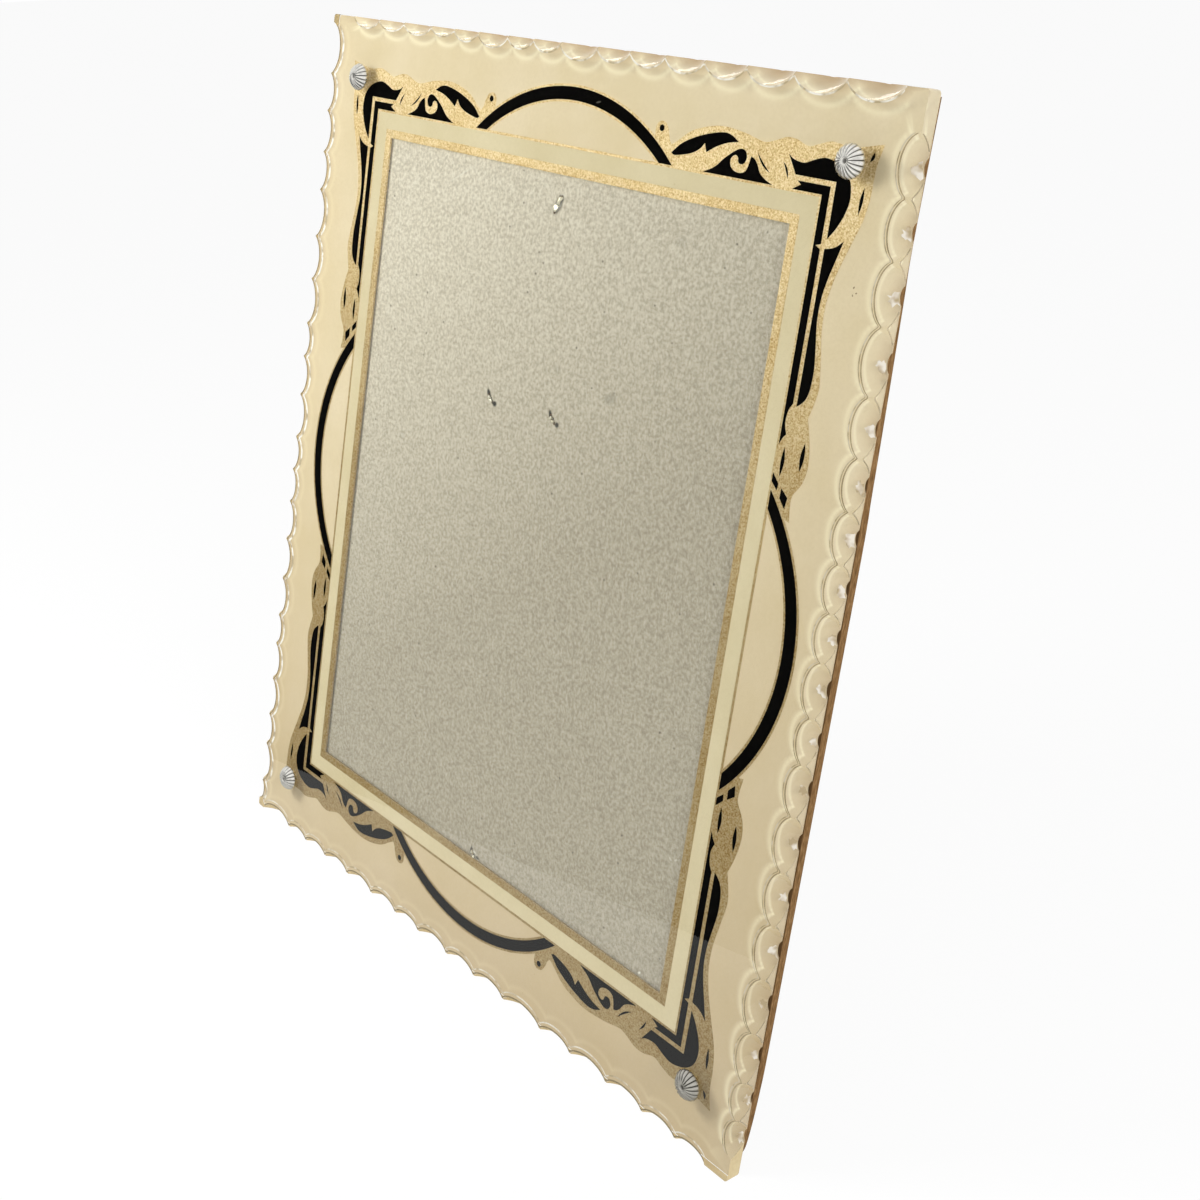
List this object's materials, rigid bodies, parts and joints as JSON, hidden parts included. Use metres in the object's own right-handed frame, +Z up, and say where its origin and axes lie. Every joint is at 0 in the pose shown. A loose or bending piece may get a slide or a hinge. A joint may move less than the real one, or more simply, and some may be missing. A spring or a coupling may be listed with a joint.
{
  "type": "glass picture frame",
  "caption": "Free-standing picture frame: a chipped-edge glass sheet painted round a clear window, pinned to a board with rosettes, with a hinged strut and a hanging ring.",
  "frame": {"origin": "on the surface the frame stands on, under the middle of the whole standing frame", "axes": "+Z up, the glass faces -Y and leans back towards +Y, +X is to the right of someone facing the glass"},
  "size_m": [0.2004, 0.0666, 0.2369],
  "materials": {
    "clear_glass": "clear sheet glass, polished faces, edge flaked off in shells",
    "cream_paint": "cream lacquer on the back of the glass, glossy through it",
    "gold_paint": "bronze powder paint, grainy and slightly glittering",
    "black_paint": "black lacquer on the back of the glass",
    "grey_board": "grey chipboard with fibres and specks, brown at its cut edge",
    "covering_paper": "dull brown grained covering paper",
    "strut_board": "board covered in the same dull brown grained paper",
    "rosette_plating": "stamped and plated bright, fluted",
    "steel": "dull tinned steel sheet and wire",
    "brass": "tarnished brass sheet and wire",
    "cotton_tape": "woven black cotton tape"
  },
  "bodies": {
    "root": {"glass_panel": "clear_glass", "painted_mat": "cream_paint", "gold_liner": "gold_paint", "black_arc_top": "black_paint", "black_arc_right": "black_paint", "black_arc_bottom": "black_paint", "black_arc_left": "black_paint", "black_band_top_left": "black_paint", "black_band_top_right": "black_paint", "black_band_bottom_left": "black_paint", "black_band_bottom_right": "black_paint", "backboard": "grey_board", "back_paper": "covering_paper", "rosette_cap_top_left": "rosette_plating", "rosette_cap_top_right": "rosette_plating", "rosette_cap_bottom_left": "rosette_plating", "rosette_cap_bottom_right": "rosette_plating", "rosette_pin_top_left": "brass", "rosette_pin_top_right": "brass", "rosette_pin_bottom_left": "brass", "rosette_pin_bottom_right": "brass", "pin_washer_top_left": "steel", "pin_washer_top_right": "steel", "pin_washer_bottom_left": "steel", "pin_washer_bottom_right": "steel", "hinge_fixed_leaf": "steel", "hinge_pin": "steel", "hinge_rivet_left": "brass", "hinge_rivet_right": "brass", "ribbon_board_rivet": "brass", "stay_ribbon": "cotton_tape", "hanger_clip": "brass", "hanger_rivet": "brass"},
    "strut": {"easel_strut": "strut_board", "hinge_moving_leaf": "steel", "strut_rivet_left": "brass", "strut_rivet_right": "brass", "ribbon_strut_rivet": "brass"},
    "ring": {"hanger_ring": "brass"}
  },
  "joints": [
    {"name": "easel_hinge", "type": "hinge", "parent": "root", "child": "strut", "pos_m": [-0.0043, 0.00285, 0.13862], "axis": [1, 0, 0], "range_deg": [-21, 0], "deforming": ["stay_ribbon"]},
    {"name": "ring_pivot", "type": "hinge", "parent": "root", "child": "ring", "pos_m": [-0.0008, 0.01624, 0.2053], "axis": [1, 0, 0], "range_deg": [-10, 160]}
  ]
}
